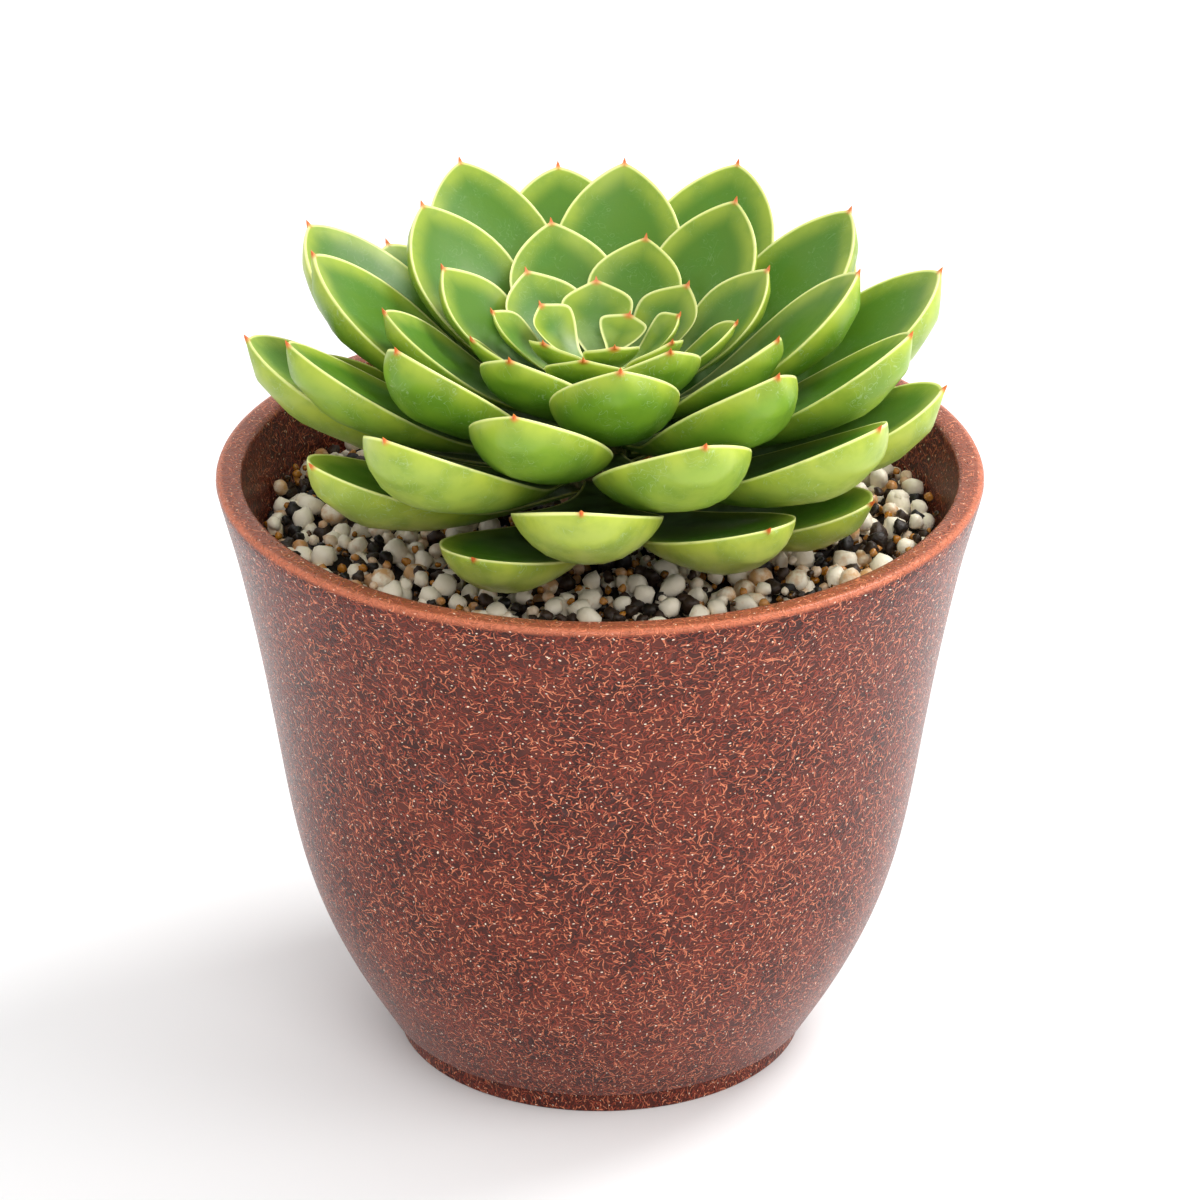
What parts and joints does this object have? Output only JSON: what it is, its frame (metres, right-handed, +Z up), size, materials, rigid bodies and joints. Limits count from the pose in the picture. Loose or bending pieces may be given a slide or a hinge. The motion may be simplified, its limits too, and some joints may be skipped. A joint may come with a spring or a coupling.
{
  "type": "potted succulent",
  "caption": "Rosette succulent with fleshy spoon-shaped leaves on a short stem, growing in gravel-topped potting mix in a round tapered pot with a drainage hole.",
  "frame": {"origin": "centre of the pot's foot, on the surface that the pot stands on", "axes": "+Z up along the pot's axis, -Y towards the plant's front"},
  "size_m": [0.12, 0.12, 0.1323],
  "materials": {
    "pot_biocomposite": "satin",
    "potting_mix": "matte",
    "gravel": "matte",
    "stem": "matte",
    "leaf": "satin"
  },
  "bodies": {
    "root": {"pot": "pot_biocomposite", "potting_mix": "potting_mix", "gravel": "gravel", "stem": "stem", "leaf_01": "leaf", "leaf_02": "leaf", "leaf_03": "leaf", "leaf_04": "leaf", "leaf_05": "leaf", "leaf_06": "leaf", "leaf_07": "leaf", "leaf_08": "leaf", "leaf_09": "leaf", "leaf_10": "leaf", "leaf_11": "leaf", "leaf_12": "leaf", "leaf_13": "leaf", "leaf_14": "leaf", "leaf_15": "leaf", "leaf_16": "leaf", "leaf_17": "leaf", "leaf_18": "leaf", "leaf_19": "leaf", "leaf_20": "leaf", "leaf_21": "leaf", "leaf_22": "leaf", "leaf_23": "leaf", "leaf_24": "leaf", "leaf_25": "leaf", "leaf_26": "leaf", "leaf_27": "leaf", "leaf_28": "leaf", "leaf_29": "leaf", "leaf_30": "leaf", "leaf_31": "leaf", "leaf_32": "leaf", "leaf_33": "leaf", "leaf_34": "leaf", "leaf_35": "leaf", "leaf_36": "leaf", "leaf_37": "leaf", "leaf_38": "leaf", "leaf_39": "leaf", "leaf_40": "leaf", "leaf_41": "leaf", "leaf_42": "leaf", "leaf_43": "leaf", "leaf_44": "leaf", "leaf_45": "leaf", "leaf_46": "leaf", "leaf_47": "leaf", "leaf_48": "leaf", "leaf_49": "leaf", "leaf_50": "leaf", "leaf_51": "leaf", "leaf_52": "leaf", "leaf_53": "leaf", "leaf_54": "leaf"}
  },
  "joints": []
}
